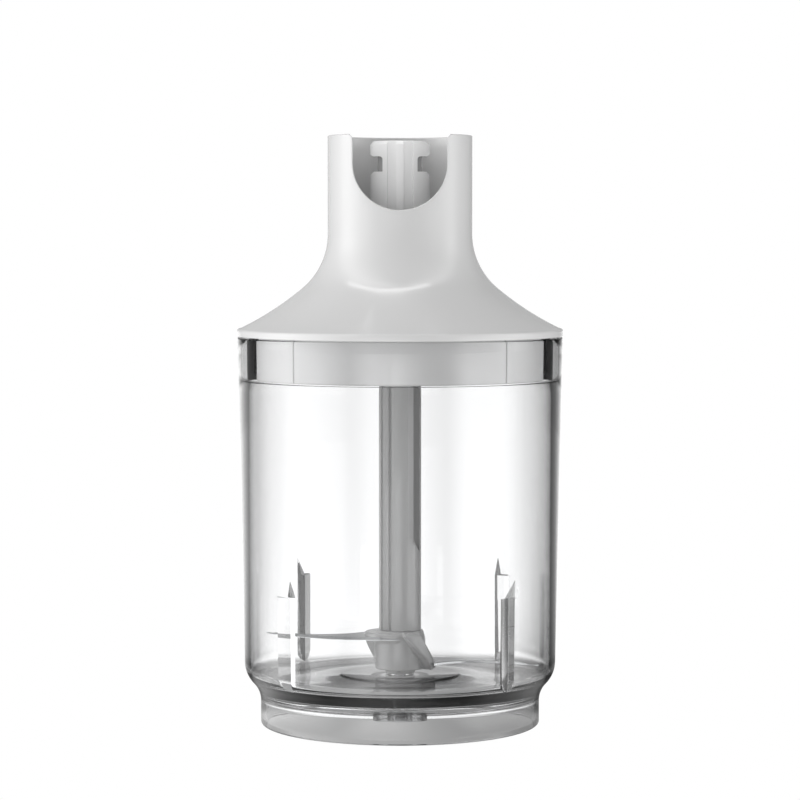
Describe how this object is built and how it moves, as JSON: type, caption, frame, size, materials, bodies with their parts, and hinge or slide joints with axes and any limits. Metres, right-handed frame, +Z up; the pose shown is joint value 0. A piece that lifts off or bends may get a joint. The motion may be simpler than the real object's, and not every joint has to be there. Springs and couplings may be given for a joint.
{
  "type": "chopper attachment",
  "caption": "Clear chopper bowl with a two-bladed knife on a tall shaft, and a flared white lid whose neck takes a hand blender and drives the knife through a planetary gear.",
  "frame": {"origin": "on the axis, in the plane that the foot's ring stands on", "axes": "+Z up along the axis; -Y is the front, where the lid's neck has its notch; +X is right seen from the front"},
  "size_m": [0.1146, 0.1146, 0.207],
  "materials": {
    "clear_plastic": "clear, polished",
    "white_plastic": "glossy white",
    "grey_plastic": "satin grey",
    "gear_plastic": "natural acetal",
    "seal": "soft grey",
    "blade_steel": "polished, ground edge",
    "steel": "turned",
    "bronze": "sintered"
  },
  "bodies": {
    "bowl": {"bowl": "clear_plastic", "centre_pin": "steel"},
    "knife": {"pin_sleeve": "gear_plastic", "blade_hub": "grey_plastic", "blade_shaft": "grey_plastic", "upper_blade": "blade_steel", "lower_blade": "blade_steel"},
    "lid": {"lid_cover": "white_plastic", "lid_base": "white_plastic", "shaft_seal": "seal", "output_bush": "bronze", "gear_cover": "white_plastic", "input_bush": "bronze", "gear_cover_screw_1": "steel", "gear_cover_screw_2": "steel", "gear_cover_screw_3": "steel", "ring_gear": "gear_plastic"},
    "carrier": {"planet_carrier": "grey_plastic", "carrier_plate": "steel", "planet_pin_1": "steel", "planet_pin_2": "steel", "planet_pin_3": "steel"},
    "input_drive": {"sun_gear": "steel", "drive_shaft": "steel", "drive_dog": "grey_plastic", "drive_shaft_circlip": "steel"},
    "planet_1": {"planet_gear_1": "gear_plastic"},
    "planet_2": {"planet_gear_2": "gear_plastic"},
    "planet_3": {"planet_gear_3": "gear_plastic"}
  },
  "joints": [
    {"name": "lid_lift", "type": "slide", "parent": "bowl", "child": "lid", "axis": [0, 0, 1], "range_m": [0, 0.06]},
    {"name": "knife_spin", "type": "hinge", "parent": "bowl", "child": "knife", "pos_m": [0, 0, 0.025], "axis": [0, 0, 1], "continuous": true},
    {"name": "carrier_spin", "type": "hinge", "parent": "lid", "child": "carrier", "pos_m": [0, 0, 0.13], "axis": [0, 0, 1], "continuous": true},
    {"name": "input_spin", "type": "hinge", "parent": "lid", "child": "input_drive", "pos_m": [0, 0, 0.15], "axis": [0, 0, 1], "continuous": true},
    {"name": "planet_1_spin", "type": "hinge", "parent": "carrier", "child": "planet_1", "pos_m": [0, -0.0165, 0.1386], "axis": [0, 0, 1], "continuous": true},
    {"name": "planet_2_spin", "type": "hinge", "parent": "carrier", "child": "planet_2", "pos_m": [0.01429, 0.00825, 0.1386], "axis": [0, 0, 1], "continuous": true},
    {"name": "planet_3_spin", "type": "hinge", "parent": "carrier", "child": "planet_3", "pos_m": [-0.01429, 0.00825, 0.1386], "axis": [0, 0, 1], "continuous": true}
  ],
  "couplings": [
    {"joint": "input_spin", "follows": "carrier_spin", "ratio": 5},
    {"joint": "knife_spin", "follows": "carrier_spin", "ratio": 1},
    {"joint": "planet_1_spin", "follows": "carrier_spin", "ratio": -2.6667},
    {"joint": "planet_2_spin", "follows": "carrier_spin", "ratio": -2.6667},
    {"joint": "planet_3_spin", "follows": "carrier_spin", "ratio": -2.6667}
  ]
}
